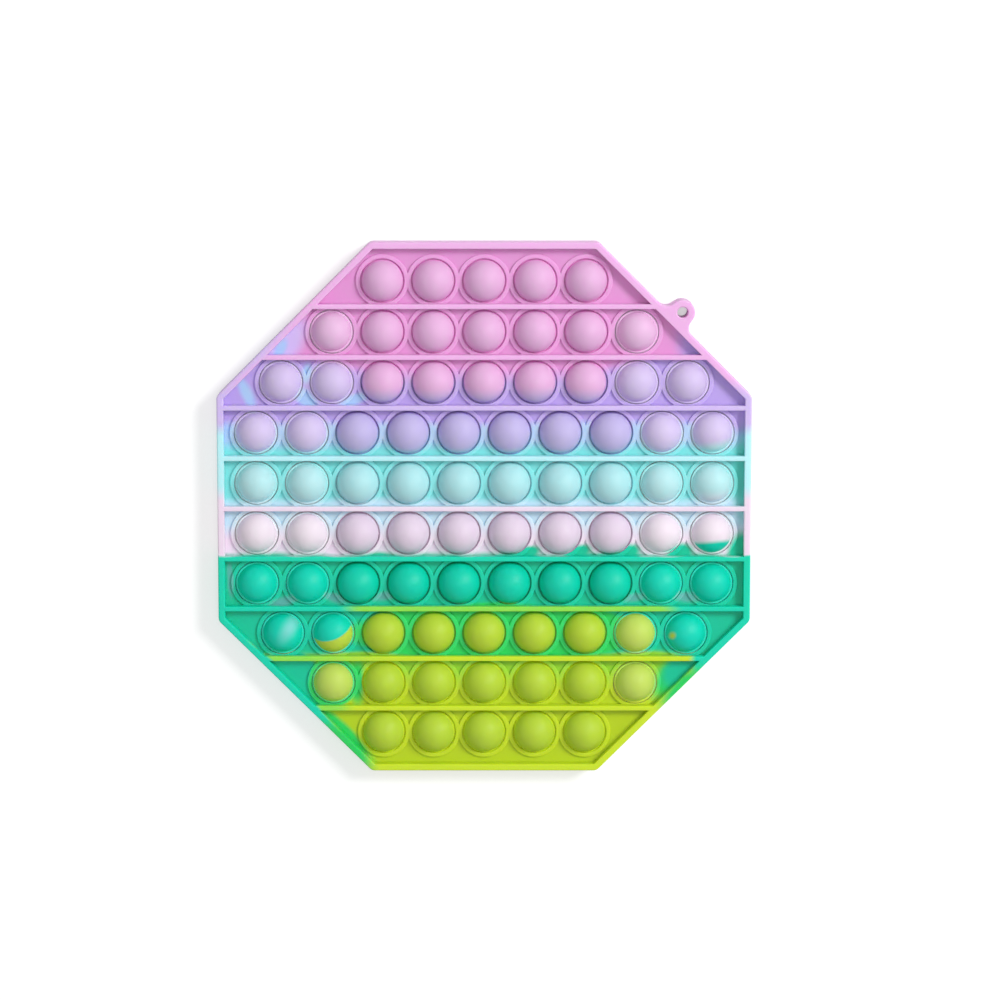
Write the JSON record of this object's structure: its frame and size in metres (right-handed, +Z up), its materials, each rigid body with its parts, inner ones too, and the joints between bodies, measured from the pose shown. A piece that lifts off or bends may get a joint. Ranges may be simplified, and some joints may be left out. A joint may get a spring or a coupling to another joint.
{
  "type": "bubble popping fidget board",
  "caption": "Flat octagonal fidget board of soft multicoloured silicone, with rows of push-through domes between ribs and a small hanging tab.",
  "frame": {"origin": "on the surface that the board rests on, under the middle of its octagon", "axes": "+Z up through the domes, +X along the rows of domes, +Y across the rows; the hanging tab is on the +X +Y side"},
  "size_m": [0.2, 0.2, 0.0136],
  "materials": {
    "silicone": "satin, mould-coloured silicone in soft-edged fields: pink, lavender, ice blue, aqua, blush, green and lime"
  },
  "bodies": {
    "root": {"bubble_board": "silicone"}
  },
  "joints": []
}
